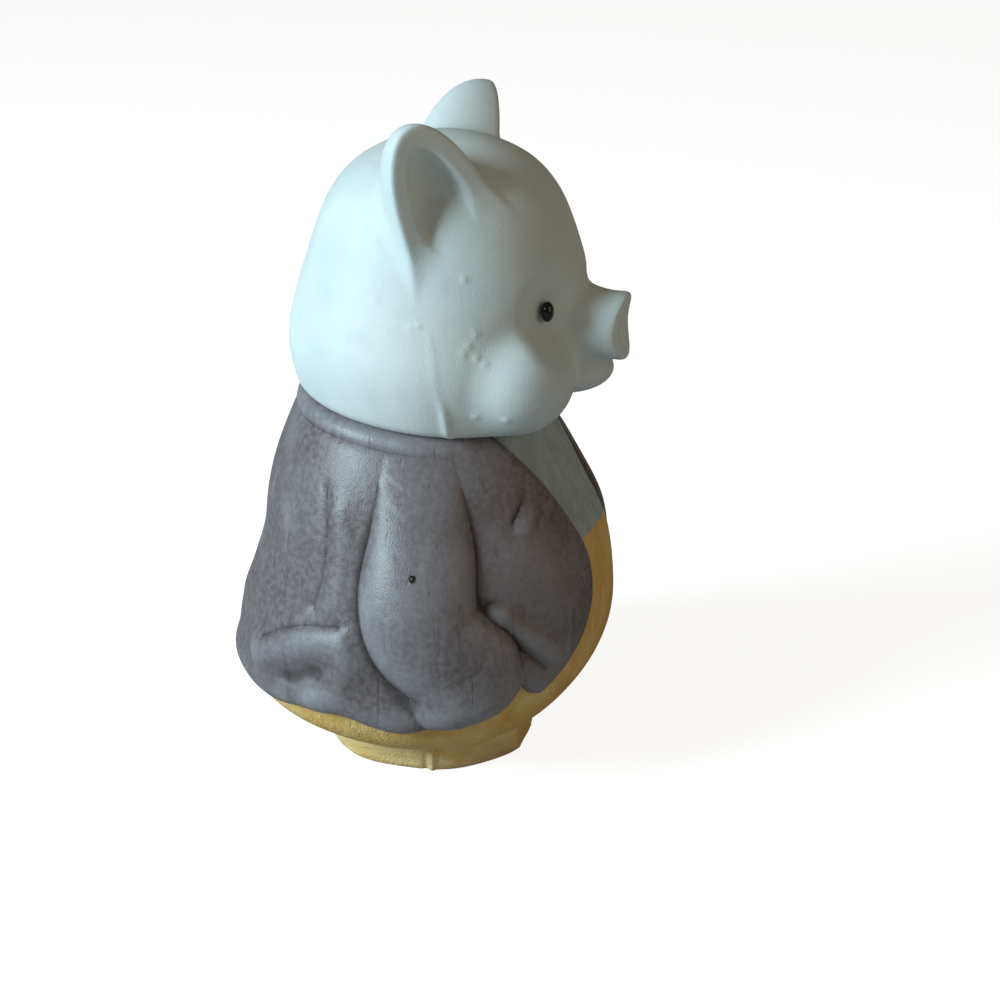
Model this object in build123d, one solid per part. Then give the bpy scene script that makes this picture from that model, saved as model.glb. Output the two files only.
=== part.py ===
from build123d import *
import os
from math import cos, pi, radians, sin, sqrt, tan

# Dressed pig figurine in unglazed bisque, about 100 mm high.
# The figure is a hollow jar with a round open neck. The head is a second hollow casting that
# stands on the neck rim, is kept central by a loose sleeve, turns on it and lifts off it.
# Millimetres, +Z up. The pig faces -Y and its left side is +X.
# The origin is the middle of the underside of the plinth.

# Plinth
PLINTH_HEIGHT = 4.0
PLINTH_RADIUS = 16.4
PLINTH_TAPER = 0.7
PLINTH_FRONT = 15.6

# Jar of the body: its radius at the foot, at the belly and at the neck, and its walls
FOOT_RADIUS = 18.5
BELLY_RADIUS = 27.8
BELLY_HEIGHT = 20.0
NECK_RADIUS = 17.4
NECK_HEIGHT = 56.0
NECK_TILT = 5.5
BODY_WALL = 2.8
BODY_FLOOR = 3.0
SHIRT_LENGTH = 18.5

# The body leans: its seat sits behind the plinth's middle and its belly in front of it
SEAT_BACK = 2.6
SEAT_BOTTOM = 9.0
BELLY_FORWARD = 1.7
BODY_SECTIONS = 12

# Neck mouth and the sleeve that stands in it
SEAT_RADIUS = 15.0
SEAT_DEPTH = 6.5
MOUTH_WALL = 2.0
SLEEVE_WALL = 2.2
SLEEVE_CLEARANCE = 0.08
HEAD_GAP = 0.35

# Clothes, as layers of clay on the jar
JACKET_THICKNESS = 1.3
JACKET_HEM_HEIGHT = 13.5
COLLAR_HEIGHT = 3.6
COLLAR_THICKNESS = 0.8
LAPEL_THICKNESS = 0.8
LAPEL_WIDTH = 3.4
PLACKET_THICKNESS = 0.7
PLACKET_WIDTH = 4.4

# Front edges of the coat, from the middle of the figure, as shares of the coat's largest radius
RIGHT_EDGE_NECK_SHARE = 0.585
RIGHT_EDGE_MIDDLE_SHARE = 0.285
RIGHT_EDGE_HEM_SHARE = 0.79
LEFT_EDGE_NECK_SHARE = 0.605
LEFT_EDGE_MIDDLE_SHARE = 0.467
LEFT_EDGE_HEM_SHARE = 0.79

# Heights on the coat, as shares of its height: the narrowest place of the opening and the middle
# of the pockets from the hem up, and the drop of the lapels from the collar down
EDGE_MIDDLE_RISE_SHARE = 0.505
POCKET_RISE_SHARE = 0.247
LAPEL_DROP_SHARE = 0.33

# Arms, with each hand in a patch pocket
ARM_RADIUS = 10.0
ARM_SINK = 6.0
SHOULDER_ANGLE = 76.5
SHOULDER_DROP = 14.0
ELBOW_ANGLE = 76.5
ELBOW_HEIGHT = 32.0
WRIST_ANGLE = 59.0
WRIST_HEIGHT = 24.6
POCKET_ANGLE = 39.0
POCKET_WIDTH = 12.0
POCKET_DEPTH = 12.0
POCKET_CORNER = 2.0
POCKET_THICKNESS = 0.9

# Head casting, with its heights counted from the neck
HEAD_FORWARD = 2.0
JAW_RADIUS = 20.2
HEAD_RADIUS = 23.0
HEAD_MIDDLE = 10.0
CROWN_HEIGHT = 39.8
CROWN_RADIUS = 19.5
HEAD_WALL = 3.0
CHEEK_RADIUS = 9.4
CHEEK_ANGLE = 37.0
CHEEK_REACH = 16.8
CHEEK_HEIGHT = 7.0
JOWL_RADIUS = 5.6
JOWL_REACH = 19.4
JOWL_HEIGHT = 6.0
CHIN_START = 17.0
CHIN_ANGLE = 22.0

# Snout
SNOUT_HEIGHT = 13.4
SNOUT_RADIUS = 5.6
SNOUT_ROOT_RADIUS = 7.2
SNOUT_LENGTH = 5.0
SNOUT_DISH = 1.7
SNOUT_EDGE = 1.0
NOSTRIL_RADIUS = 1.1
NOSTRIL_SPREAD = 2.2

# Ears, each half of a hollow pointed dome
EAR_LENGTH = 20.4
EAR_RADIUS = 7.8
EAR_WALL = 2.4
EAR_CUP = 1.0
EAR_DISH_FORWARD = 1.4
EAR_TIP_RADIUS = 4.0
EAR_SPREAD = 15.3
EAR_FORWARD = 5.6
EAR_ROOT_HEIGHT = 24.8
EAR_LEAN = 12.0
EAR_TILT = 9.0
EAR_FACING = 46.0

# Eyes, each a small dome of enamel
EYE_RADIUS = 1.7
EYE_SINK = 1.0
EYE_ANGLE = 27.0
EYE_HEIGHT = 17.0

# How far cutting shapes reach past the clay that they cut
SPARE = 6.0


def neck_plane(rise=0.0):
    """The tilted plane of the neck rim, moved along the neck's axis."""
    lean = radians(NECK_TILT)
    rim = Plane(origin=(0, 0, NECK_HEIGHT), x_dir=(1, 0, 0), z_dir=(0, -sin(lean), cos(lean)))
    return rim.offset(rise)


def below_neck(solid, drop=0.0):
    return split(solid, bisect_by=neck_plane(-drop), keep=Keep.BOTTOM)


def above_neck(solid, rise=0.0):
    return split(solid, bisect_by=neck_plane(rise), keep=Keep.TOP)


def arc_radius(inset, height):
    """Radius of an arc that starts upright and moves in by inset over a height."""
    return (inset**2 + height**2) / (2 * inset)


WAIST_HEIGHT = NECK_HEIGHT - SHIRT_LENGTH
FOOT_ARC = arc_radius(BELLY_RADIUS - FOOT_RADIUS, BELLY_HEIGHT - PLINTH_HEIGHT)
COAT_HEIGHT = NECK_HEIGHT - JACKET_HEM_HEIGHT
COAT_RADIUS = BELLY_RADIUS + JACKET_THICKNESS
SHOULDER_ARC = arc_radius(BELLY_RADIUS - NECK_RADIUS, NECK_HEIGHT - BELLY_HEIGHT)
JAW_ARC = arc_radius(HEAD_RADIUS - JAW_RADIUS, HEAD_MIDDLE)


def body_radius(height, layer=0.0):
    """Radius of the body at a height, with a layer of clay on it."""
    arc = SHOULDER_ARC if height > BELLY_HEIGHT else FOOT_ARC
    return BELLY_RADIUS - arc + sqrt((arc + layer)**2 - (height - BELLY_HEIGHT)**2)


def body_forward(height):
    """How far the middle of the body stands forward of the neck's middle at a height."""
    if height < BELLY_HEIGHT:
        return -SEAT_BACK * sin(pi / 2 * (BELLY_HEIGHT - height) / (BELLY_HEIGHT - SEAT_BOTTOM))
    return BELLY_FORWARD * sin(pi * (height - BELLY_HEIGHT) / (NECK_HEIGHT - BELLY_HEIGHT))


def body_solid(bottom, top, layer=0.0):
    """The leaning round body between two heights, grown by a layer of clay."""
    rings = []
    for step in range(BODY_SECTIONS + 1):
        height = bottom + (top - bottom) * step / BODY_SECTIONS
        rings.append(Pos(0, -body_forward(height), height) * Circle(body_radius(height, layer)))
    return loft(rings)


BODY_TOP = NECK_HEIGHT + SPARE


def clothed(layer):
    """The whole body with a layer of clay, from the hem up past the neck rim."""
    hem = Plane(origin=(0, 0, JACKET_HEM_HEIGHT))
    return split(body_solid(PLINTH_HEIGHT, BODY_TOP, layer), bisect_by=hem, keep=Keep.TOP)


def coat_layer(inner, outer):
    """The clay between two layers, from the hem up to just under the head."""
    return below_neck(clothed(outer), HEAD_GAP) - clothed(inner)


def front_prism(outline):
    """A flat outline seen from the front, pushed forward through the front of the figure."""
    return extrude(Plane.XZ * outline, BELLY_RADIUS + SPARE)


def coat_edge(side):
    """One front edge of the coat seen from the front, from above the neck down to the hem."""
    shares = RIGHT_EDGE_NECK_SHARE, RIGHT_EDGE_MIDDLE_SHARE, RIGHT_EDGE_HEM_SHARE
    if side > 0:
        shares = LEFT_EDGE_NECK_SHARE, LEFT_EDGE_MIDDLE_SHARE, LEFT_EDGE_HEM_SHARE
    heights = BODY_TOP, JACKET_HEM_HEIGHT + EDGE_MIDDLE_RISE_SHARE * COAT_HEIGHT, JACKET_HEM_HEIGHT
    return ThreePointArc(*[(side * share * COAT_RADIUS, height) for share, height in zip(shares, heights)])


def coat_opening():
    """The gap between the two front edges of the coat, which curve away to the neck and to the hem."""
    left = coat_edge(1)
    right = coat_edge(-1)
    drop = Vector(0, -SPARE)
    outline = left + right + Line(left @ 0, right @ 0)
    outline += Polyline(left @ 1, (left @ 1) + drop, (right @ 1) + drop, right @ 1)
    return front_prism(make_face(outline))


def on_coat(side, angle, height, sink):
    """A point a little under the coat's surface, at an angle from straight ahead."""
    reach = body_radius(height, JACKET_THICKNESS) - sink
    ahead = body_forward(height) + reach * cos(radians(angle))
    return Vector(side * reach * sin(radians(angle)), -ahead, height)


def plinth():
    disc = Cone(
        PLINTH_RADIUS - PLINTH_TAPER, PLINTH_RADIUS, PLINTH_HEIGHT,
        align=(Align.CENTER, Align.CENTER, Align.MIN),
    )
    front = Plane(origin=(0, -PLINTH_FRONT, 0), x_dir=(1, 0, 0), z_dir=(0, -1, 0))
    return split(disc, bisect_by=front, keep=Keep.BOTTOM)


def jar():
    """The hollow body with its floor, its shoulder and its round stepped mouth."""
    lean = radians(NECK_TILT)
    seat_floor = NECK_HEIGHT - SEAT_DEPTH / cos(lean) - SEAT_RADIUS * tan(lean)
    shell = below_neck(body_solid(PLINTH_HEIGHT, BODY_TOP))
    shell -= body_solid(PLINTH_HEIGHT + BODY_FLOOR, seat_floor - MOUTH_WALL, -BODY_WALL)
    seat = Cylinder(SEAT_RADIUS, 2 * SEAT_DEPTH)
    throat = Cylinder(SEAT_RADIUS - SLEEVE_WALL, 2 * (SEAT_DEPTH + MOUTH_WALL + SPARE))
    return shell - neck_plane() * seat - neck_plane() * throat


def jacket():
    return coat_layer(0, JACKET_THICKNESS) - coat_opening()


def jacket_collar():
    band = coat_layer(JACKET_THICKNESS, JACKET_THICKNESS + COLLAR_THICKNESS)
    return above_neck(band, -COLLAR_HEIGHT) - coat_opening()


def lapel(side):
    """A flat triangle of cloth that folds back from the front edge of the coat under the collar."""
    edge = coat_edge(side)
    top = NECK_HEIGHT
    drop = LAPEL_DROP_SHARE * COAT_HEIGHT
    low = NECK_HEIGHT - COLLAR_HEIGHT - drop
    waist_edge = (edge @ 0.5).X
    corner = ((edge @ 0).X + waist_edge) / 2 + side * LAPEL_WIDTH
    outline = Polyline(
        (0, top), (corner, top), (corner, top - drop / 2), (waist_edge, low), (0, low),
        close=True,
    )
    flap = coat_layer(JACKET_THICKNESS, JACKET_THICKNESS + LAPEL_THICKNESS)
    flap = below_neck(flap, COLLAR_HEIGHT)
    return (flap & front_prism(make_face(outline))) - coat_opening() - arm_form(side)


def shirt_placket():
    strip = coat_layer(0, PLACKET_THICKNESS)
    height = NECK_HEIGHT - WAIST_HEIGHT
    outline = Pos(0, WAIST_HEIGHT + height / 2) * Rectangle(PLACKET_WIDTH, height)
    return strip & front_prism(outline)


def arm_form(side):
    """The round sleeve from the shoulder over the bent elbow to the wrist."""
    shoulder = on_coat(side, SHOULDER_ANGLE, NECK_HEIGHT - SHOULDER_DROP, ARM_SINK)
    elbow = on_coat(side, ELBOW_ANGLE, ELBOW_HEIGHT, ARM_SINK)
    wrist = on_coat(side, WRIST_ANGLE, WRIST_HEIGHT, ARM_SINK)
    bone = Spline(shoulder, elbow, wrist)
    section = Plane(origin=bone @ 0, z_dir=bone % 0) * Circle(ARM_RADIUS)
    form = sweep(section, path=bone)
    return form + Pos(shoulder) * Sphere(ARM_RADIUS) + Pos(wrist) * Sphere(ARM_RADIUS)


def arm(side):
    return below_neck(arm_form(side), HEAD_GAP) - clothed(JACKET_THICKNESS) - jacket_collar()


def pocket(side):
    """A patch pocket on the front of the coat, which the hand goes into."""
    facing = Vector(side * sin(radians(POCKET_ANGLE)), -cos(radians(POCKET_ANGLE)), 0)
    middle = JACKET_HEM_HEIGHT + POCKET_RISE_SHARE * COAT_HEIGHT
    patch = Plane(origin=(0, 0, middle), x_dir=facing.cross(Vector(0, 0, -1)), z_dir=facing)
    outline = RectangleRounded(POCKET_WIDTH, POCKET_DEPTH, POCKET_CORNER)
    prism = extrude(patch * outline, BELLY_RADIUS + SPARE)
    layer = coat_layer(JACKET_THICKNESS, JACKET_THICKNESS + POCKET_THICKNESS)
    return (layer & prism) - arm_form(side) - coat_opening()


def neck_sleeve():
    ring = Circle(SEAT_RADIUS - SLEEVE_CLEARANCE) - Circle(SEAT_RADIUS - SLEEVE_WALL)
    return neck_plane(-SEAT_DEPTH) * extrude(ring, 2 * SEAT_DEPTH - HEAD_GAP)


def dome_side(radius, height, cap):
    """Radius of the side arc of a dome that starts upright and runs into a round cap."""
    return (radius**2 + (height - cap)**2 - cap**2) / (2 * (radius - cap))


def dome_outline(radius, height, cap):
    """The right half of a dome's outline, from its upright foot to its top on the axis."""
    cap_centre = Vector(0, height - cap)
    side_centre = Vector(radius - dome_side(radius, height, cap), 0)
    join = cap_centre + (cap_centre - side_centre).normalized() * cap
    return TangentArc((radius, 0), join, tangent=(0, 1)) + TangentArc((0, height), join, tangent=(1, 0))


def head_radius(height):
    """Radius of the head's side at a height above the neck, under its crown."""
    side = dome_side(HEAD_RADIUS, CROWN_HEIGHT - HEAD_MIDDLE, CROWN_RADIUS)
    return HEAD_RADIUS - side + sqrt(side**2 - (height - HEAD_MIDDLE)**2)


def head_solid(layer=0.0):
    """The round head: a jaw that narrows to the neck, full sides and a round crown."""
    drop = HEAD_MIDDLE + SPARE
    low = HEAD_RADIUS - JAW_ARC + sqrt((JAW_ARC + layer)**2 - drop**2)
    radius = HEAD_RADIUS + layer
    crown = CROWN_HEIGHT - HEAD_MIDDLE + layer
    outline = dome_outline(radius, crown, CROWN_RADIUS + layer)
    outline += TangentArc((radius, 0), (low, -drop), tangent=(0, -1))
    outline += Polyline((low, -drop), (0, -drop), (0, crown))
    place = Pos(0, -HEAD_FORWARD, NECK_HEIGHT + HEAD_MIDDLE)
    return place * revolve(Plane.XZ * make_face(outline), Axis.Z)


def head_form():
    """The outside of the head with its cheeks and lower jaw, cut off at the neck and under the chin."""
    form = head_solid()
    for side in (1, -1):
        across = side * CHEEK_REACH * sin(radians(CHEEK_ANGLE))
        ahead = HEAD_FORWARD + CHEEK_REACH * cos(radians(CHEEK_ANGLE))
        form += Pos(across, -ahead, NECK_HEIGHT + CHEEK_HEIGHT) * Sphere(CHEEK_RADIUS)
    form += Pos(0, -HEAD_FORWARD - JOWL_REACH, NECK_HEIGHT + JOWL_HEIGHT) * Sphere(JOWL_RADIUS)
    form = above_neck(form)
    under_chin = neck_plane() * Pos(0, -CHIN_START, 0) * Rot(-CHIN_ANGLE, 0, 0)
    length = BELLY_RADIUS + SPARE
    wedge = Box(2 * length, length, length, align=(Align.CENTER, Align.MAX, Align.MAX))
    return form - under_chin * wedge


def head_shell():
    """The hollow head casting, with a round socket in its floor for the sleeve."""
    cavity = above_neck(head_solid(-HEAD_WALL), SEAT_DEPTH)
    socket = Cylinder(SEAT_RADIUS, 2 * SEAT_DEPTH + SPARE)
    return head_form() - cavity - neck_plane() * socket


def snout():
    """A short stub with a rounded edge and a dished end, and two nostrils in the dish."""
    height = NECK_HEIGHT + SNOUT_HEIGHT
    root = HEAD_FORWARD + head_radius(SNOUT_HEIGHT) - HEAD_WALL
    length = HEAD_WALL + SNOUT_LENGTH
    stub = Cone(SNOUT_ROOT_RADIUS, SNOUT_RADIUS, length, align=(Align.CENTER, Align.CENTER, Align.MIN))
    stub = fillet(stub.edges().sort_by(Axis.Z)[-1], SNOUT_EDGE)
    rim = SNOUT_RADIUS - SNOUT_EDGE
    bowl = (rim**2 + SNOUT_DISH**2) / (2 * SNOUT_DISH)
    floor = length - SNOUT_DISH
    stub -= Pos(0, 0, floor + bowl) * Sphere(bowl)
    for side in (1, -1):
        stub -= Pos(side * NOSTRIL_SPREAD, 0, floor) * Sphere(NOSTRIL_RADIUS)
    ahead = Plane(origin=(0, -root, height), x_dir=(1, 0, 0), z_dir=(0, -1, 0))
    return ahead * stub - head_form()


def ear_dome(radius, length, tip):
    outline = dome_outline(radius, length, tip) + Polyline((0, length), (0, 0), (radius, 0))
    return revolve(Plane.XZ * make_face(outline), Axis.Z)


def ear(side):
    """A cupped ear that opens forward and outward, with its root on the head."""
    dish = ear_dome(EAR_RADIUS - EAR_WALL, EAR_LENGTH - EAR_WALL, EAR_TIP_RADIUS - EAR_WALL / 2)
    cup = ear_dome(EAR_RADIUS, EAR_LENGTH, EAR_TIP_RADIUS) - Pos(0, -EAR_DISH_FORWARD, 0) * dish
    front = Plane(origin=(0, -EAR_CUP, 0), x_dir=(1, 0, 0), z_dir=(0, -1, 0))
    cup = split(cup, bisect_by=front, keep=Keep.BOTTOM)
    place = Pos(side * EAR_SPREAD, -EAR_FORWARD, NECK_HEIGHT + EAR_ROOT_HEIGHT)
    leaning = Rot(-EAR_TILT, 0, 0) * Rot(0, side * EAR_LEAN, 0) * Rot(0, 0, side * EAR_FACING)
    return place * leaning * cup - head_solid()


def eye(side):
    reach = head_radius(EYE_HEIGHT) - EYE_SINK
    across = side * reach * sin(radians(EYE_ANGLE))
    ahead = HEAD_FORWARD + reach * cos(radians(EYE_ANGLE))
    return Pos(across, -ahead, NECK_HEIGHT + EYE_HEIGHT) * Sphere(EYE_RADIUS) - head_form()


def largest(shape):
    """The main solid of a cut, without the crumbs that a cut may leave."""
    return shape.solids().sort_by(SortBy.VOLUME)[-1]


body = jar()
waist = Plane(origin=(0, 0, WAIST_HEIGHT))
pieces = {
    "plinth": plinth(),
    "trousers": split(body, bisect_by=waist, keep=Keep.BOTTOM),
    "shirt": split(body, bisect_by=waist, keep=Keep.TOP),
    "shirt_placket": shirt_placket(),
    "jacket": jacket(),
    "jacket_collar": jacket_collar(),
    "neck_sleeve": neck_sleeve(),
    "head_shell": head_shell(),
    "snout": snout(),
}
for name, side in (("left", 1), ("right", -1)):
    pieces["lapel_" + name] = lapel(side)
    pieces["arm_" + name] = arm(side)
    pieces["pocket_" + name] = pocket(side)
    pieces["ear_" + name] = ear(side)
    pieces["eye_" + name] = eye(side)

os.makedirs("parts", exist_ok=True)
for name, piece in pieces.items():
    export_step(largest(piece), "parts/" + name + ".step")
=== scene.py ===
from math import cos, pi, radians, sin, tan

import bpy
import numpy as np
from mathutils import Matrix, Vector


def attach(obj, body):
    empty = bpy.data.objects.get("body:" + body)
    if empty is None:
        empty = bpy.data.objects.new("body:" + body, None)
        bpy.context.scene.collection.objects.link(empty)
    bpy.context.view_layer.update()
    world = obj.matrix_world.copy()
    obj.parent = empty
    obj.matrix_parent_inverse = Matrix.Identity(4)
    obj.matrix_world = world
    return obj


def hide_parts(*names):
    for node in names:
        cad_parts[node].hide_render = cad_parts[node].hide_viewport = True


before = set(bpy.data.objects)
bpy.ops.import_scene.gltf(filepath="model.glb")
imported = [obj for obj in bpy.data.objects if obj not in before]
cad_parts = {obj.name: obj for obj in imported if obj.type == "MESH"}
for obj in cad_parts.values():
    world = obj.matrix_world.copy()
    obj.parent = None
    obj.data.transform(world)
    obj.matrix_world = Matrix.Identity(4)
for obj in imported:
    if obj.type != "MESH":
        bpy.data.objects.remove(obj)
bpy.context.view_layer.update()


# Plinth
# The low foot that the pig stands on, cast together with the body and wiped with thin ochre paint.
# It is a rough disc with a flat in front, and the seam of the two-piece mould runs down its side.

PLINTH_RADIUS = 16.6
PLINTH_HEIGHT = 5.0
PLINTH_FRONT = 15.9
PLINTH_SEAM = 72
PLINTH_MEAN_RADIUS = 16
PLINTH_STEPS = 180


def smooth_step(low, high, value):
    """Goes from 0 at low to 1 at high, and flat beyond them."""
    part = np.clip((value - low) / (high - low), 0, 1)
    return part * part * (3 - 2 * part)


def through(points, place):
    """The height, at a place, of a smooth curve through (place, height) points."""
    places, heights = np.array(points, float).T
    slopes = np.gradient(heights, places)
    place = np.clip(place, places[0], places[-1])
    left = np.clip(np.searchsorted(places, place) - 1, 0, len(places) - 2)
    step = places[left + 1] - places[left]
    part = (place - places[left]) / step
    rise = part * part * (3 - 2 * part)
    lead = part * (1 - part) * (slopes[left] * (1 - part) - slopes[left + 1] * part) * step
    return heights[left] * (1 - rise) + heights[left + 1] * rise + lead


def points_of(piece):
    """The piece's vertices as an array of millimetres."""
    flat = np.empty(len(piece.data.vertices) * 3)
    piece.data.vertices.foreach_get("co", flat)
    return flat.reshape(-1, 3)


def place_points(piece, points):
    piece.data.vertices.foreach_set("co", np.asarray(points, float).ravel())
    piece.data.update()


def turned(name, outline, steps):
    """A closed piece turned from an outline of (radius, height) points in millimetres."""
    mesh = bpy.data.meshes.new(name)
    mesh.from_pydata([(radius, 0, height) for radius, height in outline],
                     [(i, i + 1) for i in range(len(outline) - 1)], [])
    piece = bpy.data.objects.new(name, mesh)
    bpy.context.collection.objects.link(piece)
    bpy.ops.object.select_all(action="DESELECT")
    piece.select_set(True)
    bpy.context.view_layer.objects.active = piece
    bpy.ops.object.mode_set(mode="EDIT")
    bpy.ops.mesh.select_all(action="SELECT")
    bpy.ops.mesh.spin(steps=steps, angle=2 * pi, center=(0, 0, 0), axis=(0, 0, 1))
    bpy.ops.mesh.select_all(action="SELECT")
    bpy.ops.mesh.remove_doubles(threshold=0.01)
    bpy.ops.mesh.normals_make_consistent(inside=False)
    bpy.ops.object.mode_set(mode="OBJECT")
    return piece


def bearing(points):
    """The angle of each point from straight ahead, in degrees, positive to the pig's right."""
    return np.degrees(np.arctan2(-points[:, 0], -points[:, 1]))


def fired(piece, body, slot, material, *nodes):
    """Brings a finished piece from millimetres to metres, paints it and puts it on its body."""
    place_points(piece, points_of(piece) * 0.001)
    piece.data.materials.clear()
    piece.data.materials.append(material)
    bpy.ops.object.select_all(action="DESELECT")
    piece.select_set(True)
    bpy.context.view_layer.objects.active = piece
    bpy.ops.object.shade_smooth_by_angle(angle=radians(50))
    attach(piece, body)
    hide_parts(*nodes)


class Wire:
    """An output socket of a material. Sums and products of wires add the Math nodes they need."""

    def __init__(self, tree, socket=None):
        self.tree = tree
        self.socket = socket

    def add(self, kind, settings, inputs, output=0):
        """Adds a node, sets its settings, then fills or links its inputs."""
        node = self.tree.nodes.new("ShaderNode" + kind)
        for name, value in settings.items():
            setattr(node, name, value)
        for name, value in inputs.items():
            if isinstance(value, Wire):
                self.tree.links.new(value.socket, node.inputs[name])
            else:
                node.inputs[name].default_value = value
        return None if output is None else Wire(self.tree, node.outputs[output])

    def maths(self, operation, first, second):
        return self.add("Math", {"operation": operation}, {0: first, 1: second})

    def __add__(self, other):
        return self.maths("ADD", self, other)

    __radd__ = __add__

    def __sub__(self, other):
        return self.maths("SUBTRACT", self, other)

    def __rsub__(self, other):
        return self.maths("SUBTRACT", other, self)

    def __mul__(self, other):
        return self.maths("MULTIPLY", self, other)

    __rmul__ = __mul__

    def between(self, low, high):
        """0 at low and 1 at high, smooth and clamped; low may be the larger."""
        return self.add("MapRange", {"interpolation_type": "SMOOTHSTEP"},
                        {"Value": self, "From Min": low, "From Max": high})

    def blend(self, first, second):
        """A colour that goes from the first at 0 to the second at 1."""
        return self.add("Mix", {"data_type": "RGBA"}, {0: self, 6: first, 7: second}, 2)

    def noise(self, scale, detail=3.0):
        return self.add("TexNoise", {}, {"Vector": self, "Scale": scale, "Detail": detail})

    def stretched(self, turn, scale):
        """The coordinates turned by degrees and then scaled along each axis, for brush strokes."""
        return self.add("Mapping", {"vector_type": "POINT"},
                        {"Vector": self, "Rotation": [radians(angle) for angle in turn], "Scale": scale})

    def grains(self, scale, share, size):
        """Round grains on a share of the cells of a lattice, 1 in their middles."""
        cells = {"Vector": self, "Scale": scale}
        near = self.add("TexVoronoi", {}, cells, "Distance").between(size, 0.0)
        pick = self.add("TexVoronoi", {}, cells, "Color").between(1 - share, 1 - share + 0.02)
        return near * pick


def srgb(red, green, blue):
    """A colour as read off a screen, 0 to 255, as the linear colour that a shader takes."""
    parts = [value / 255 for value in (red, green, blue)]
    return [part / 12.92 if part < 0.04 else ((part + 0.055) / 1.055) ** 2.4 for part in parts] + [1]


def clay_material(name, finish):
    """A material whose colour, roughness and relief come from finish(coordinates)."""
    material = bpy.data.materials.new(name)
    material.use_nodes = True
    tree = material.node_tree
    shader = tree.nodes["Principled BSDF"]
    coordinates = Wire(tree).add("TexCoord", {}, {}, "Object")
    colour, roughness, height, depth = finish(coordinates)
    tree.links.new(colour.socket, shader.inputs["Base Color"])
    tree.links.new(roughness.socket, shader.inputs["Roughness"])
    bump = coordinates.add("Bump", {}, {"Height": height, "Distance": depth, "Strength": 1.0})
    tree.links.new(bump.socket, shader.inputs["Normal"])
    return material


def thin_ochre(coordinates):
    wipe = coordinates.stretched((0, 0, 20), (1, 1, 3)).noise(160)
    grain = coordinates.noise(2600, 2)
    colour = wipe.between(0.35, 0.7).blend(srgb(236, 212, 158), srgb(224, 188, 116))
    return colour, 0.62 + 0.2 * grain, grain + 4 * wipe, 0.0002


plinth_side = [(PLINTH_RADIUS - 0.9, 0), (PLINTH_RADIUS - 0.5, 0.4), (PLINTH_RADIUS, 3.4),
               (PLINTH_RADIUS, PLINTH_HEIGHT)]
plinth = turned("plinth_foot", [(0, 0), (9, 0)] + plinth_side + [(0, PLINTH_HEIGHT)], PLINTH_STEPS)
bpy.ops.object.mode_set(mode="EDIT")
bpy.ops.mesh.select_all(action="SELECT")
bpy.ops.mesh.subdivide(number_cuts=3)
bpy.ops.object.mode_set(mode="OBJECT")
foot = points_of(plinth)
angle = bearing(foot)
reach = np.hypot(foot[:, 0], foot[:, 1])
outer = smooth_step(12, 15.5, reach)
uneven = 0.25 * np.sin(np.radians(3 * angle + 40)) + 0.2 * np.sin(np.radians(7 * angle))
ridge = 0.5 * np.exp(-((angle - PLINTH_SEAM) / 1.6) ** 2)
dent = 0.3 * np.exp(-((angle - PLINTH_SEAM - 3) / 2) ** 2)
foot[:, :2] *= (1 + outer * (uneven + (ridge - dent)) / PLINTH_MEAN_RADIUS)[:, None]
foot[:, 1] = np.maximum(foot[:, 1], -PLINTH_FRONT + 0.3 * np.cos(foot[:, 0] / 4))
place_points(plinth, foot)
fired(plinth, "figure", "trouser_paint", clay_material("thin_ochre_wash", thin_ochre), "plinth")


# Body
# A hollow jar of slip-cast clay, pear shaped, with an open stepped neck that the head stands on.
# Its lower part is painted as ochre trousers, its upper part as a pale blue shirt.

# height, radius
FRONT_RADIUS = [(4, 15.0), (6, 17.8), (9, 21.2), (13, 24.4), (20, 27.6), (30, 28.0), (40, 25.5), (48, 21.9),
                (54, 18.6), (57, 17.0), (60, 15.2)]
SIDE_RADIUS = [(4, 16.2), (6, 20.6), (9, 24.6), (13, 26.8), (20, 27.8), (30, 26.6), (40, 24.4), (48, 21.6),
               (54, 18.8), (57, 17.3), (60, 15.6)]
BACK_RADIUS = [(4, 17.5), (6, 23.0), (9, 27.3), (13, 28.6), (20, 27.6), (30, 24.6), (36, 23.2), (40, 22.8),
               (48, 20.2), (54, 17.9), (57, 16.8), (60, 15.4)]
BODY_WALL = 2.8
BODY_FLOOR = 7.0
WAIST = 37.5
NECK_HEIGHT = 56.0
NECK_TILT = 5.5
HEAD_GAP = 0.35
SEAT_RADIUS = 15.1
SEAT_DEPTH = 6.5
THROAT_RADIUS = 12.8
THROAT_DEPTH = 4.5
BODY_BOTTOM = 4
BODY_CORE_RADIUS = 9
BODY_STEPS = 300
# angle, low end, high end, half width in degrees, depth
TROUSER_CREASES = [
    (1, 24, 40, 1.4, 0.35),
    (46, 7, 16, 1.8, 0.5),
    (-40, 8, 17, 2.0, 0.4),
    (150, 6, 14, 3, 0.3),
]
WAIST_RISE = 1.4
# height, angle of the edge
SHIRT_FLAP = [(37, 0.5), (46.3, 0.8), (52.9, 7.9), (57, 11)]
SHIRT_FLAP_HEIGHT = 0.45


def body_radius(angle, height):
    """The radius of the bare body at an angle from straight ahead and a height."""
    ahead = np.cos(np.radians(angle))
    end = np.where(ahead > 0, through(FRONT_RADIUS, height), through(BACK_RADIUS, height))
    return end * ahead ** 2 + through(SIDE_RADIUS, height) * (1 - ahead ** 2)


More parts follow.
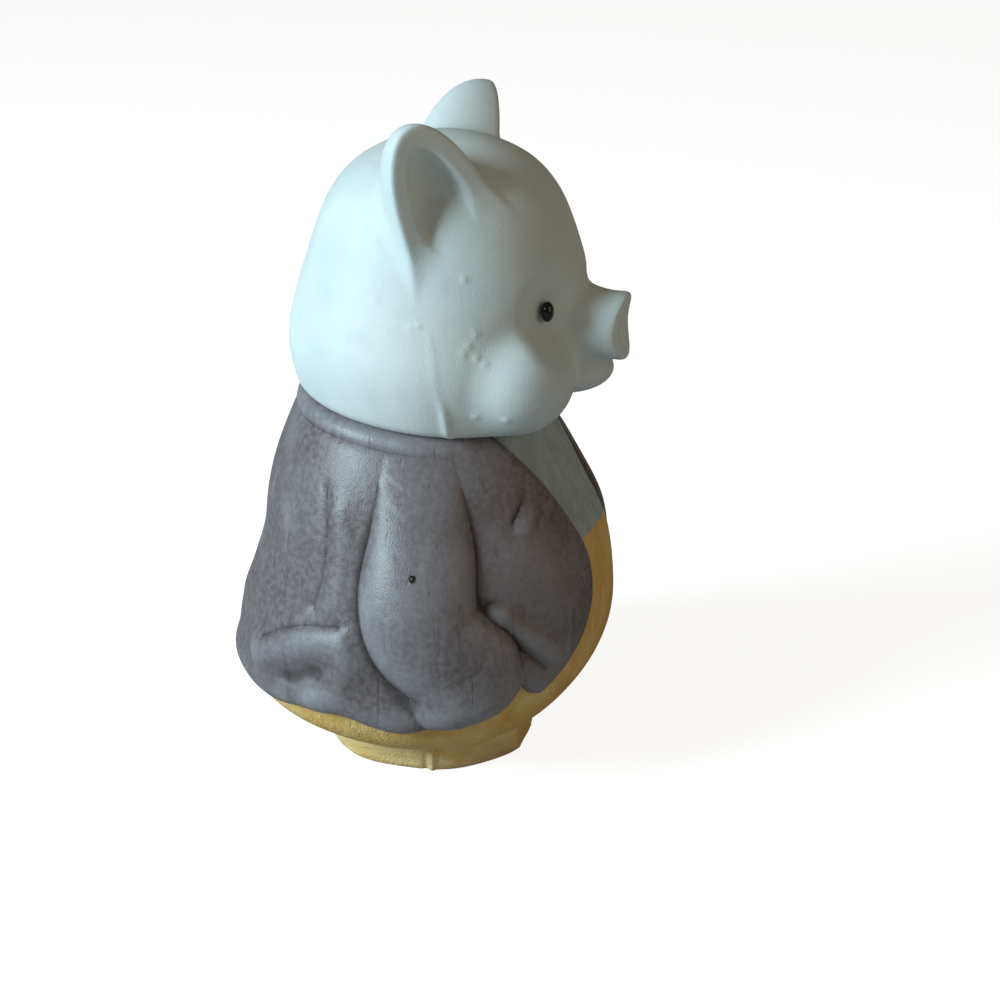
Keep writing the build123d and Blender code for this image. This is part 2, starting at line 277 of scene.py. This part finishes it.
def tilt_neck(points):
    """Tilts what is near the neck with the plane of its rim, which is lower under the chin."""
    lean = radians(NECK_TILT)
    bore = (np.hypot(points[:, 0], points[:, 1]) < SEAT_RADIUS + 0.05) & (points[:, 2] > 40)
    y, z = points[:, 1].copy(), points[:, 2] - NECK_HEIGHT
    rising = smooth_step(34, 47, points[:, 2])
    points[:, 2] += np.where(bore, y * sin(lean) + z * (cos(lean) - 1), y * tan(lean) * rising)
    points[:, 1] = np.where(bore, y * cos(lean) - z * sin(lean), y)


def shape_body(piece):
    """Gives the turned body its uneven girth, the creases of the clothes and its tilted neck."""
    points = points_of(piece)
    angle = bearing(points)
    reach = np.hypot(points[:, 0], points[:, 1])
    round_radius = through(SIDE_RADIUS, points[:, 2])
    out = np.clip((reach - SEAT_RADIUS) / (round_radius - SEAT_RADIUS), 0, 1)
    wanted = body_radius(angle, points[:, 2])
    for crease_angle, low, high, width, depth in TROUSER_CREASES:
        span = smooth_step(low, low + 3, points[:, 2]) * smooth_step(high, high - 3, points[:, 2])
        wanted = wanted - depth * span * np.exp(-((angle - crease_angle) / width) ** 2)
    flap = smooth_step(-6, -5, angle) * smooth_step(0.5, -0.5, angle - through(SHIRT_FLAP, points[:, 2]))
    wanted = wanted + SHIRT_FLAP_HEIGHT * flap * smooth_step(WAIST, WAIST + 0.6, points[:, 2])
    wider = 1 + out * (wanted - round_radius) / np.maximum(reach, 1)
    points[:, :2] *= wider[:, None]
    ahead = np.cos(np.radians(4 * angle)) * (np.abs(angle) < 45)
    points[:, 2] += WAIST_RISE * ahead * np.exp(-((points[:, 2] - WAIST) / 5) ** 2)
    tilt_neck(points)
    place_points(piece, points)


def body_side(low, high, rows, wall):
    """Outline points up or down the side of the body, a wall's thickness inside its surface."""
    return [(through(SIDE_RADIUS, height) - wall, height) for height in np.linspace(low, high, rows)]


under = [(0, BODY_BOTTOM), (BODY_CORE_RADIUS, BODY_BOTTOM)]
floor_inside = [(BODY_CORE_RADIUS, BODY_FLOOR), (0, BODY_FLOOR)]
outer = body_side(BODY_BOTTOM, WAIST, 62, 0)
inner = body_side(WAIST, BODY_FLOOR, 14, BODY_WALL)
trousers = turned("trouser_body", under + outer + inner + floor_inside, BODY_STEPS)
shape_body(trousers)


def ochre(coordinates):
    stroke = coordinates.stretched((0, 0, 0), (1, 1, 0.25)).noise(700, 4)
    cloud = coordinates.noise(120)
    grain = coordinates.noise(2600, 2)
    colour = cloud.between(0.3, 0.7).blend(srgb(231, 196, 122), srgb(219, 171, 90))
    colour = (stroke.between(0.5, 0.75) * 0.4).blend(colour, srgb(240, 214, 156))
    return colour, 0.55 + 0.25 * grain, grain + 2 * stroke, 0.0002


fired(trousers, "figure", "trouser_paint", clay_material("ochre_paint", ochre), "trousers")

outer = body_side(WAIST, NECK_HEIGHT - 0.6, 34, 0)
rim = [(through(SIDE_RADIUS, NECK_HEIGHT) - 0.5, NECK_HEIGHT), (16.5, NECK_HEIGHT),
       (SEAT_RADIUS, NECK_HEIGHT - 0.3)]
seat = NECK_HEIGHT - SEAT_DEPTH
throat = seat - THROAT_DEPTH
bore = [(SEAT_RADIUS, seat), (THROAT_RADIUS, seat), (THROAT_RADIUS, throat)]
inner = body_side(throat, WAIST, 5, BODY_WALL)
shirt = turned("shirt_body", outer + rim + bore + inner + outer[:1], BODY_STEPS)
shape_body(shirt)


def pale_blue(coordinates):
    stroke = coordinates.stretched((0, 0, 30), (1, 1, 0.3)).noise(500, 4)
    grain = coordinates.noise(2600, 2)
    colour = stroke.between(0.35, 0.7).blend(srgb(156, 170, 172), srgb(174, 188, 188))
    return colour, 0.6 + 0.2 * grain, grain + 2 * stroke, 0.0002


fired(shirt, "figure", "shirt_paint", clay_material("pale_blue_paint", pale_blue), "shirt", "shirt_placket")


# Coat
# A short coat modelled in the clay over the body, with its sleeves, turned-back fronts and pockets.
# It is brushed with thin taupe paint; shade is painted dark into the folds, and the ridges are painted pale
# as rubbed paint and painted highlight.

COAT_THICKNESS = 1.3
COAT_EDGE = 0.75
# height, angle of the edge
RIGHT_FRONT = [(17.8, 38.0), (21, 30.7), (24.1, 24.9), (29.3, 18.7), (35.2, 17.0), (41.5, 19.6),
               (47.8, 26.1), (51.9, 35.3), (54, 42.0), (56, 50.0)]
LEFT_FRONT_SHIFT = 16.0
# angle, height of the edge
HEM = [(36, 17.4), (39, 17.7), (43, 19.6), (45.7, 20.9), (48.5, 19.4), (55, 17.4), (64, 15.4),
       (72, 14.6), (81.5, 13.4), (89, 14.0), (98, 15.1), (107, 14.8), (115, 14.1), (128, 13.3),
       (150, 13.6), (165, 12.9), (180, 13.2)]
# angle, height
ARM_AXIS = [(76.5, 51.5), (75.5, 42), (76.5, 34), (73, 28.4), (62.5, 24.0)]
# share of the way down the arm, then millimetres
ARM_HALF_WIDTH = [(0, 6.6), (0.3, 7.9), (0.6, 8.0), (0.8, 7.7), (1, 7.3)]
ARM_HEIGHT = [(0, 0.3), (0.18, 2.2), (0.4, 3.6), (0.65, 4.1), (0.85, 3.9), (1, 3.4)]
ARM_GROOVE = 0.5
# angle, height
CUFF_AXIS = [(64.5, 19.5), (58, 19.6)]
CUFF_HALF_WIDTH = 6.5
CUFF_HEIGHT = 2.9
FOLDS = [
    # path as (angle, height), half width, height out of the coat
    ([(130, 22.2), (121, 25.0), (111, 27.2), (99, 28.6)], 0.6, -0.5),
    ([(131, 19.6), (121, 22.4), (111, 24.8), (99, 26.2)], 2.6, 1.1),
    ([(116, 17.6), (108, 20.0)], 3.0, -1.3),
    ([(107, 17.0), (100, 19.6), (95, 23.6)], 2.4, 0.8),
    ([(110.5, 46.5), (107, 40.4), (107, 34.6), (109, 30.5)], 0.9, -0.4),
    ([(103, 44.0), (101, 37.0), (102, 31.5)], 2.0, 0.4),
    ([(119, 41), (117, 32)], 1.0, -0.22),
    ([(140, 46), (146, 34), (143, 24)], 2.4, -0.3),
    ([(155, 26), (142, 24), (133, 21)], 2.4, 0.35),
    ([(54, 31.7), (46.2, 28.0), (38, 24.6), (32, 21.9)], 1.3, 1.1),
    ([(52, 28.8), (45, 25.4), (38, 22.0)], 1.4, -0.8),
    ([(47, 23.5), (43.5, 21.6), (41, 19.0)], 1.2, 0.45),
    ([(66, 35.2), (60, 33.2), (54, 32.8)], 1.0, -0.6),
    ([(36.3, 48.7), (40, 47.0), (44.5, 44.6)], 0.6, -0.5),
    ([(33.4, 46.9), (37, 45.4), (41, 43.4)], 1.1, 0.35),
]
LEFT_FOLD_SHARE = 0.8
GIRTH = 28.5
FRONT_GIRTH = 25
FRONT_THINNING = 9
COLLAR_DEPTH = 2.6
COLLAR_ROLL = 0.3
COLLAR_GROOVE = 0.35
HEM_ROLL = 0.35
WAVES = 14
WAVE_HEIGHT = 0.05
COAT_WALL = 1.0
COAT_COLUMNS = 400
COAT_ROWS = 100
RELIEF_STROKES = 40
# metres, as the material's coordinates are
PINHOLE = (-0.0299, -0.0069, 0.0384)
PINHOLE_EDGE = (0.0006, 0.00035)


def along(path, across, up):
    """How far points are from a smooth path of (angle, height), and how far along it, 0 to 1."""
    path = np.array(path, float)
    marks = np.linspace(0, 1, len(path))
    samples = np.linspace(0, 1, 80)
    run_across = through(np.column_stack((marks, path[:, 0])), samples) * radians(1) * GIRTH
    run_up = through(np.column_stack((marks, path[:, 1])), samples)
    gap = np.hypot(across[:, None] - run_across, up[:, None] - run_up)
    nearest = gap.argmin(axis=1)
    return gap.min(axis=1), samples[nearest]


def coat_relief(angle, height, mirrored):
    """How far the coat's surface stands out of the bare body, without its rounded edges."""
    across = angle * radians(1) * GIRTH
    gap, part = along(ARM_AXIS, across, height)
    width = through(ARM_HALF_WIDTH, part)
    arm = through(ARM_HEIGHT, part) * np.clip(1 - (gap / width) ** 2, 0, 1) ** 0.6
    groove = ARM_GROOVE * np.exp(-((gap - width - 0.3) / 0.8) ** 2) * smooth_step(0.12, 0.3, part)
    beside = smooth_step(-1.0, 0.6, gap - width)
    gap, _ = along(CUFF_AXIS, across, height)
    cuff = CUFF_HEIGHT * np.clip(1 - (gap / CUFF_HALF_WIDTH) ** 2, 0, 1)
    arm = (arm ** 3 + cuff ** 3) ** (1 / 3)
    groove = groove * smooth_step(0, 2, gap - CUFF_HALF_WIDTH)
    folds = np.zeros(angle.shape)
    for path, width, rise in FOLDS:
        gap, _ = along(path, across, height)
        folds += rise * np.exp(-(gap / width) ** 2) * np.where(mirrored, LEFT_FOLD_SHARE, 1)
    return COAT_THICKNESS + folds * beside + arm - groove * smooth_step(17, 21, height)


bpy.ops.object.select_all(action="DESELECT")
bpy.ops.mesh.primitive_grid_add(x_subdivisions=COAT_COLUMNS, y_subdivisions=COAT_ROWS, size=1)
coat = bpy.context.object
coat.name = "coat_with_sleeves"
sheet = points_of(coat)
u, v = sheet[:, 0] + 0.5, sheet[:, 1] + 0.5
nominal = RIGHT_FRONT[0][0] + (RIGHT_FRONT[-1][0] - RIGHT_FRONT[0][0]) * v
right_front = through(RIGHT_FRONT, nominal)
turn = right_front + (360 - 2 * right_front - LEFT_FRONT_SHIFT) * u
mirrored = turn > 180
angle = np.where(mirrored, 360 - turn, turn)
hem = through(HEM, angle)
top = NECK_HEIGHT - 0.1
height = hem + (top - hem) * v
out = coat_relief(angle, height, mirrored)
rng = np.random.default_rng(5)
for wave in range(WAVES):
    swing, rise, phase = rng.uniform(-6, 6), rng.uniform(-0.35, 0.35), rng.uniform(0, 2 * pi)
    out += WAVE_HEIGHT * np.sin(swing * np.radians(turn) + rise * height + phase)
below_top = (1 - v) * (top - hem)
above_hem = v * (top - hem)
roll = smooth_step(52, 90, angle)
out += roll * COLLAR_ROLL * np.exp(-((below_top - 1.3) / 1.2) ** 2)
out -= roll * COLLAR_GROOVE * np.exp(-((below_top - COLLAR_DEPTH) / 0.5) ** 2)
out += HEM_ROLL * np.exp(-((above_hem - 2.2) / 1.6) ** 2) * smooth_step(40, 60, angle)
from_front = np.minimum(u, 1 - u) * (360 - 2 * right_front) * radians(1) * FRONT_GIRTH
out = COAT_EDGE + (out - COAT_EDGE) * smooth_step(0, FRONT_THINNING, from_front)
edge = np.minimum(np.minimum(from_front, above_hem), below_top)
out *= np.sqrt(np.clip(1 - (1 - np.clip(edge, 0, 1)) ** 2, 0, 1))
out -= 0.25 * (1 - smooth_step(0, 0.5, edge))
reach = body_radius(angle, height) + out
x = np.where(mirrored, 1, -1) * reach * np.sin(np.radians(angle))
shell = np.column_stack((x, -reach * np.cos(np.radians(angle)), height))
tilt_neck(shell)
place_points(coat, shell)

# How far each place stands above its surroundings. It drives the painted shade in the folds and the pale
# ridges, which are rubbed paint and painted highlight.
relief = out.copy()
order = np.lexsort((u.round(6), v.round(6)))
table = relief[order].reshape(-1, COAT_COLUMNS + 1)
smoothed = table.copy()
for stroke in range(RELIEF_STROKES):
    padded = np.pad(smoothed, 1, mode="edge")
    smoothed = (padded[:-2, 1:-1] + padded[2:, 1:-1] + padded[1:-1, :-2] + padded[1:-1, 2:]) / 4
relief[order] = (table - smoothed).ravel()
coat.data.attributes.new("relief", "FLOAT", "POINT").data.foreach_set("value", relief)

wall = coat.modifiers.new("wall", "SOLIDIFY")
wall.thickness = COAT_WALL
wall.offset = -1
bpy.ops.object.modifier_apply(modifier="wall")


def taupe(coordinates):
    relief = coordinates.add("Attribute", {"attribute_name": "relief"}, {}, "Fac")
    cloud = coordinates.noise(70, 2)
    mottle = coordinates.noise(1100, 5)
    scuff = coordinates.stretched((12, 0, 0), (1, 1, 0.1)).noise(520, 4)
    scratch = coordinates.stretched((-8, 14, 0), (1, 1, 0.03)).noise(700, 1)
    grain = coordinates.noise(3600, 3)
    colour = mottle.between(0.3, 0.72).blend(srgb(97, 87, 88), srgb(121, 113, 116))
    colour = (cloud.between(0.4, 0.7) * 0.5).blend(colour, srgb(141, 137, 142))
    colour = (scuff.between(0.56, 0.72) * 0.2).blend(colour, srgb(162, 160, 167))
    colour = (scratch.between(0.66, 0.74) * 0.25).blend(colour, srgb(52, 44, 44))
    # Ridges are painted paler, as rubbed paint and painted highlight; folds are painted darker, as painted
    # shade.
    colour = (relief.between(0.05, 0.5) * 0.25).blend(colour, srgb(172, 172, 180))
    colour = (relief.between(-0.05, -0.45) * 0.6).blend(colour, srgb(48, 40, 39))
    bumps = coordinates.grains(620, 0.05, 0.32)
    colour = (bumps * 0.4).blend(colour, srgb(175, 176, 184))
    height = 0.2 * grain + 0.15 * mottle + 2.2 * bumps - 0.15 * scratch.between(0.66, 0.74)
    ends = {0: coordinates, 1: PINHOLE}
    pin = coordinates.add("VectorMath", {"operation": "DISTANCE"}, ends, "Value").between(*PINHOLE_EDGE)
    # The pinhole is painted near black, as painted shade inside the hole.
    colour = pin.blend(colour, srgb(30, 24, 24))
    return colour, 0.3 + 0.22 * mottle, height - 5 * pin, 0.00025


coat_nodes = ["jacket", "jacket_collar"]
for side in ("left", "right"):
    coat_nodes += ["lapel_" + side, "arm_" + side, "pocket_" + side]
fired(coat, "figure", "coat_paint", clay_material("brushed_taupe_paint", taupe), *coat_nodes)


# Neck sleeve
# A loose ring of grey board in the open neck, which keeps the head central and lets it turn.
# Its shape is right in the model, so it only gets its finish.


def board(coordinates):
    fibre = coordinates.stretched((0, 0, 0), (1, 1, 0.2)).noise(1500, 4)
    cloud = coordinates.noise(200)
    colour = fibre.between(0.3, 0.7).blend(srgb(148, 138, 122), srgb(184, 174, 154))
    colour = (cloud.between(0.4, 0.7) * 0.4).blend(colour, srgb(132, 122, 108))
    return colour, 0.8 + 0.1 * fibre, fibre, 0.0002


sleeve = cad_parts["neck_sleeve"]
sleeve.data.materials.clear()
sleeve.data.materials.append(clay_material("grey_board", board))


# Head
# A second hollow casting in bare white bisque: round skull, full cheeks, a short dished snout and two
# cupped ears. It stands loose on the neck rim, so it has a round socket for the sleeve underneath.

SKULL = (0, -2.1, 66.0)
SKULL_RADIUS = 23.3
CROWN_RISE = 29.8
JAW_DROP = 22.0
FACE_FLATNESS = 0.12
HEAD_WALL = 3.2
SOCKET_RADIUS = 15.2
# height, share of the radius
SKULL_GIRTH = [(60, 1), (66, 1), (72, 0.975), (78, 0.957), (83, 0.98), (88, 1.04), (92, 1.1)]
CHEEK = (10.2, -15.2, 63.4)
CHEEK_SIZE = (9.4, 9.3, 8.9)
SNOUT_END = -31.1
SNOUT_HEIGHT = 69.0
SNOUT_RADIUS = 5.0
SNOUT_DISH = 6.3
CHIN = (0, -20.0, 62.2)
CHIN_SIZE = (6.8, 7.8, 3.8)
# height, then how far back the mould's seam is
SEAM = [(57.7, -8.8), (60.2, -8.7), (63.4, -8.0), (69.8, -7.1), (73.7, -5.9)]
# 1 is the pig's left, -1 its right
EAR_ROOT = {1: np.array([14.2, -2.0, 84.6]), -1: np.array([-15.0, -8.0, 84.6])}
EAR_TIP = np.array([19.5, -2.5, 100.0])
EAR_HALF_WIDTH = {1: 6.3, -1: 7.5}
EAR_DEPTH = 10.6
EAR_WALL = 3.0
EAR_FACING = 44
EAR_ROOT_SPREAD = 0.045
EYE = (9.8, -20.3, 73.0)
EYE_HOLLOW_SIZE = (6.4, 6.4, 6.0)
EYE_SOCKET_SIZE = (1.6, 1.3, 1.9)
NOSTRIL_SIDE = 2.1
NOSTRIL_SIZE = (1.0, 1.8, 1.4)
SEAM_WIDTH = 0.55
# The opening under the chin, through which the neck rim shows.
THROAT_OPENING = (0, -21, 53.6)
THROAT_OPENING_SIZE = (9.5, 8, 3.4)
# Specks of dry slip on the right of the head, as x, y, z and height.
SPECKS = [
    (-20.0, -11.8, 70.1, 0.17), (-19.6, -12.9, 68.4, 0.26), (-19.2, -14.0, 67.6, 0.2),
    (-20.5, -11.2, 69.0, 0.17), (-19.2, -12.6, 71.6, 0.18), (-22.0, -4.0, 72.7, 0.17),
    (-21.8, -5.1, 72.9, 0.2), (-20.8, 1.5, 75.8, 0.17), (-18.2, -10.6, 79.1, 0.18),
    (-18.3, -16.9, 59.2, 0.24), (-19.2, -12.7, 59.6, 0.18),
]
SPECK_SPREAD = 0.5
HEAD_VOXEL = 0.46
NUDGE = 0.02


def egg(points, centre, size):
    """How far points are outside an egg, in millimetres, negative inside it."""
    local = (points - np.array(centre)) / np.array(size)
    grow = np.linalg.norm(local, axis=1)
    return grow * (grow - 1) / np.maximum(np.linalg.norm(local / np.array(size), axis=1), 1e-6)


def welded(first, second, soft):
    """Two forms pressed together, with the joint between them smoothed over."""
    near = np.clip(soft - np.abs(first - second), 0, None) / soft
    return np.minimum(first, second) - near * near * soft / 4


def carved(form, tool, soft):
    """A form with a tool's shape taken out of it, and the edge softened."""
    return -welded(-form, tool, soft)


def ear_place(side):
    """The ear's length, and its own across, back and up directions as the columns of a matrix."""
    rising = EAR_TIP * (side, 1, 1) - EAR_ROOT[side]
    length = np.linalg.norm(rising)
    rising = rising / length
    back = np.array([-side * sin(radians(EAR_FACING)), cos(radians(EAR_FACING)), 0])
    back = back - rising * (back @ rising)
    back = back / np.linalg.norm(back)
    return length, np.column_stack((np.cross(back, rising), back, rising))


def head_form(points):
    """How far points are outside the clay of the head, negative inside the clay."""
    lean = radians(NECK_TILT)
    rise = (points[:, 2] - NECK_HEIGHT) * cos(lean) - points[:, 1] * sin(lean)
    back = points[:, 1] * cos(lean) + (points[:, 2] - NECK_HEIGHT) * sin(lean)
    from_axis = np.hypot(points[:, 0], back)
    girth = through(SKULL_GIRTH, points[:, 2])
    flat = 1 + FACE_FLATNESS * smooth_step(78, 68, points[:, 2])
    forward = (points[:, 1] - SKULL[1]) * np.where(points[:, 1] < SKULL[1], flat, 1)
    face = np.column_stack((points[:, 0] / girth, SKULL[1] + forward / girth, points[:, 2]))
    upper = egg(face, SKULL, (SKULL_RADIUS, SKULL_RADIUS, CROWN_RISE))
    lower = egg(face, SKULL, (SKULL_RADIUS, SKULL_RADIUS, JAW_DROP))
    form = np.where(points[:, 2] > SKULL[2], upper, lower)
    for side in (1, -1):
        form = welded(form, egg(points, (side * CHEEK[0], CHEEK[1], CHEEK[2]), CHEEK_SIZE), 2.0)
    off_snout = np.hypot(points[:, 0], points[:, 2] - SNOUT_HEIGHT)
    flare = SNOUT_RADIUS + 0.045 * (points[:, 1] + 28) ** 2
    stub = -welded(flare - off_snout, points[:, 1] - SNOUT_END, 2.2)
    stub = np.maximum(stub, points[:, 1] + 15)
    dish = egg(points, (0, SNOUT_END + 1.9 - SNOUT_DISH, SNOUT_HEIGHT), (500, SNOUT_DISH, SNOUT_DISH))
    stub = carved(stub, dish, 2.2)
    for side in (1, -1):
        nostril = (side * NOSTRIL_SIDE, SNOUT_END + 2.6, SNOUT_HEIGHT)
        stub = carved(stub, egg(points, nostril, NOSTRIL_SIZE), 0.5)
    form = welded(form, egg(points, CHIN, CHIN_SIZE), 0.9)
    form = welded(form, stub, 1.4)
    for side in (1, -1):
        length, turn = ear_place(side)
        size = np.array([EAR_HALF_WIDTH[side], EAR_DEPTH, length])
        above = np.maximum(points, (-100, -100, EAR_ROOT[side][2]))
        local = (above - EAR_ROOT[side]) @ turn
        local[:, :2] *= 1 + EAR_ROOT_SPREAD * np.maximum(EAR_ROOT[side][2] - points[:, 2:], 0)
        cup = egg(local, (0, 0, 0), size)
        cup = carved(cup, local[:, 1] + 0.8, 0.8)
        cup = carved(cup, egg(local, (0, -1.2, -0.4), size - (EAR_WALL, EAR_WALL + 3, EAR_WALL)), 0.5)
        form = welded(form, cup, 2.0)
        hollow = (side * EYE[0] * 1.25, EYE[1] - 5.2, EYE[2])
        form = carved(form, egg(points, hollow, EYE_HOLLOW_SIZE), 3.0)
        form = carved(form, egg(points, (side * EYE[0], EYE[1] - 0.5, EYE[2]), EYE_SOCKET_SIZE), 0.6)
    for x, y, z, tall in SPECKS:
        off = ((points - (x, y, z)) ** 2).sum(axis=1) / SPECK_SPREAD ** 2
        form = form - tall * np.exp(-np.minimum(off, 30))
    off_seam = (points[:, 1] - through(SEAM, points[:, 2])) / SEAM_WIDTH
    seam_height = 0.07 + 0.33 * smooth_step(63, 59, points[:, 2])
    seam_height = (np.abs(points[:, 0]) > 14) * seam_height * smooth_step(74, 70, points[:, 2])
    form = form - seam_height * np.exp(-off_seam ** 2)
    form = carved(form, rise - HEAD_GAP, 1.6)
    form = carved(form, egg(points, THROAT_OPENING, THROAT_OPENING_SIZE), 1.2)
    hollow_size = np.array((SKULL_RADIUS, SKULL_RADIUS, CROWN_RISE)) - HEAD_WALL
    inside = np.maximum(egg(points, SKULL, hollow_size), SEAT_DEPTH - rise)
    socket = np.maximum(from_axis - SOCKET_RADIUS, rise - SEAT_DEPTH - 1)
    return carved(form, np.minimum(inside, socket), 0.4)


def press_to(points, form, rounds):
    """Moves points straight onto the surface of a form."""
    for step in range(rounds):
        away = form(points)
        slope = np.empty_like(points)
        for axis in range(3):
            nudge = np.zeros(3)
            nudge[axis] = NUDGE
            slope[:, axis] = (form(points + nudge) - form(points - nudge)) / (2 * NUDGE)
        steep = np.maximum((slope ** 2).sum(axis=1), 0.25)
        points = points - slope * np.clip(away / steep, -0.8, 0.8)[:, None]
    return points


def ball(centre, size):
    """A lump of clay, shaped as an egg."""
    bpy.ops.object.select_all(action="DESELECT")
    bpy.ops.mesh.primitive_uv_sphere_add(segments=64, ring_count=32, radius=1, location=centre, scale=size)
    bpy.ops.object.transform_apply(location=True, rotation=True, scale=True)
    return bpy.context.object


# A rough head is joined from lumps and remeshed, then its points are pressed onto the exact form.
turn = np.linspace(0, pi / 2, 40)
dome = [(SKULL_RADIUS * cos(a), SKULL[2] + CROWN_RISE * sin(a)) for a in turn[::-1]]
jaw = [(SKULL_RADIUS * cos(a), SKULL[2] - JAW_DROP * sin(a)) for a in np.linspace(0.05, 0.5, 12)]
seat_top = NECK_HEIGHT + SEAT_DEPTH
floor_ring = [(SOCKET_RADIUS, NECK_HEIGHT + HEAD_GAP), (SOCKET_RADIUS, seat_top), (20.0, seat_top)]
hollow = [((SKULL_RADIUS - HEAD_WALL) * cos(a), SKULL[2] + (CROWN_RISE - HEAD_WALL) * sin(a)) for a in turn]
dome[0] = (0, dome[0][1])
hollow[-1] = (0, hollow[-1][1])
skull = turned("head_casting", dome + jaw + floor_ring + hollow, 120)
skull_points = points_of(skull)
skull_points[:, 1] += SKULL[1]
place_points(skull, skull_points)
bpy.ops.object.select_all(action="DESELECT")
bpy.ops.mesh.primitive_cylinder_add(vertices=48, radius=SNOUT_RADIUS, depth=16, rotation=(pi / 2, 0, 0),
                                    location=(0, SNOUT_END + 8.6, SNOUT_HEIGHT))
bpy.ops.object.transform_apply(location=True, rotation=True, scale=True)
lumps = [skull, bpy.context.object, ball(CHIN, CHIN_SIZE)]
for side in (1, -1):
    lumps.append(ball((side * CHEEK[0], CHEEK[1], CHEEK[2]), CHEEK_SIZE))
    ear = ball((0, 0, 0), (1, 1, 1))
    cup = points_of(ear)
    span = np.hypot(cup[:, 0], cup[:, 2])
    dish = 0.72 * np.sqrt(np.clip(1 - (span / 0.72) ** 2, 0, 1))
    cup[:, 1] = np.where(cup[:, 1] < 0, dish - 0.1, np.maximum(cup[:, 1], 0))
    length, turn = ear_place(side)
    cup *= (EAR_HALF_WIDTH[side], EAR_DEPTH, length)
    place_points(ear, cup @ turn.T + EAR_ROOT[side])
    lumps.append(ear)
bpy.ops.object.select_all(action="DESELECT")
for lump in lumps:
    lump.select_set(True)
bpy.context.view_layer.objects.active = skull
bpy.ops.object.join()
head = skull
head.data.remesh_voxel_size = HEAD_VOXEL
bpy.ops.object.voxel_remesh()
place_points(head, press_to(points_of(head), head_form, 6))
soften = head.modifiers.new("soften", "SMOOTH")
soften.factor = 0.5
soften.iterations = 2
bpy.ops.object.modifier_apply(modifier="soften")
place_points(head, press_to(points_of(head), head_form, 2))


def bisque(coordinates):
    cloud = coordinates.noise(60, 3)
    grain = coordinates.noise(4200, 3)
    wash = coordinates.noise(260, 2)
    colour = cloud.between(0.3, 0.7).blend(srgb(204, 216, 217), srgb(219, 227, 225))
    colour = (wash.between(0.5, 0.8) * 0.25).blend(colour, srgb(192, 204, 205))
    bumps = coordinates.grains(560, 0.035, 0.26)
    fine = coordinates.grains(1100, 0.05, 0.3)
    return colour, 0.56 + 0.2 * grain, 0.16 * grain + 0.12 * wash + 2.2 * bumps + 0.9 * fine, 0.0003


fired(head, "head", "white_bisque", clay_material("white_bisque", bisque),
      "head_shell", "snout", "ear_left", "ear_right")


# Eyes
# Two drops of black enamel, set into shallow sockets in the bisque and fired glossy.

EYE_SIZE = (1.15, 0.95, 1.5)


def enamel(coordinates):
    cloud = coordinates.noise(900)
    colour = cloud.between(0.4, 0.7).blend(srgb(16, 12, 10), srgb(34, 24, 18))
    return colour, 0.08 + 0.1 * cloud, cloud, 0.00005


enamel_material = clay_material("black_enamel", enamel)
for side, name in ((1, "left"), (-1, "right")):
    eye = ball((side * EYE[0], EYE[1], EYE[2]), EYE_SIZE)
    eye.name = "eye_drop_" + name
    fired(eye, "head", "eye_enamel", enamel_material, "eye_" + name)


# Studio
# A pale floor, a large soft window light from behind the pig, a weak warm fill, and the camera.

FLOOR_GREY = (0.42, 0.42, 0.42, 1)
FLOOR_GLOW = 0.88
ROOM_COLOUR = (1, 0.87, 0.7, 1)
ROOM_LIGHT = 0.13
WHITE = (1, 1, 1, 1)
AIM = Vector((0, 0, 0.05))
VIEW_TURN = 18
VIEW_DISTANCE = 0.291
VIEW_HEIGHT = 0.154
LENS_RATIO = 2.03
LENS_SHIFT = (0.068, -0.072)

bpy.context.scene.view_settings.view_transform = "Standard"
bpy.ops.object.select_all(action="DESELECT")
bpy.ops.mesh.primitive_plane_add(size=6)
floor = bpy.context.object
floor.name = "studio_floor"
paper = bpy.data.materials.new("studio_paper")
paper.use_nodes = True
paper.node_tree.nodes.clear()
sheet_wire = Wire(paper.node_tree)
seen = sheet_wire.add("LightPath", {}, {}, "Is Camera Ray")
matt = sheet_wire.add("BsdfDiffuse", {}, {"Color": FLOOR_GREY})
white = sheet_wire.add("Emission", {}, {"Color": WHITE, "Strength": seen * FLOOR_GLOW})
both = sheet_wire.add("AddShader", {}, {0: matt, 1: white})
sheet_wire.add("OutputMaterial", {}, {"Surface": both}, None)
floor.data.materials.append(paper)


def lamp(name, place, size, power, colour):
    """A round soft light that is aimed at the middle of the figure."""
    light = bpy.data.lights.new(name, "AREA")
    light.shape = "DISK"
    light.size = size
    light.energy = power
    light.color = colour
    holder = bpy.data.objects.new(name, light)
    bpy.context.collection.objects.link(holder)
    holder.location = place
    holder.rotation_euler = (AIM - Vector(place)).to_track_quat("-Z", "Y").to_euler()


lamp("window", (-0.42, 0.44, 0.32), 0.3, 5.4, (0.72, 0.92, 1.0))
lamp("warm_fill", (-0.1, -0.6, 0.25), 0.5, 0.5, (1.0, 0.8, 0.58))

world = bpy.data.worlds.new("studio")
bpy.context.scene.world = world
world.use_nodes = True
background = world.node_tree.nodes["Background"]
path = Wire(world.node_tree).add("LightPath", {}, {}, "Is Camera Ray")
strength = path * (1 - ROOM_LIGHT) + ROOM_LIGHT
world.node_tree.links.new(strength.socket, background.inputs["Strength"])
world.node_tree.links.new(path.blend(ROOM_COLOUR, WHITE).socket, background.inputs["Color"])

stand = Vector((-cos(radians(VIEW_TURN)), -sin(radians(VIEW_TURN)), 0)) * VIEW_DISTANCE
camera = bpy.data.objects.new("camera", bpy.data.cameras.new("camera"))
bpy.context.collection.objects.link(camera)
camera.location = stand + Vector((0, 0, VIEW_HEIGHT))
camera.rotation_euler = (AIM - camera.location).to_track_quat("-Z", "Y").to_euler()
camera.data.lens = LENS_RATIO * camera.data.sensor_width
camera.data.clip_start = 0.01
camera.data.shift_x, camera.data.shift_y = LENS_SHIFT
bpy.context.scene.camera = camera
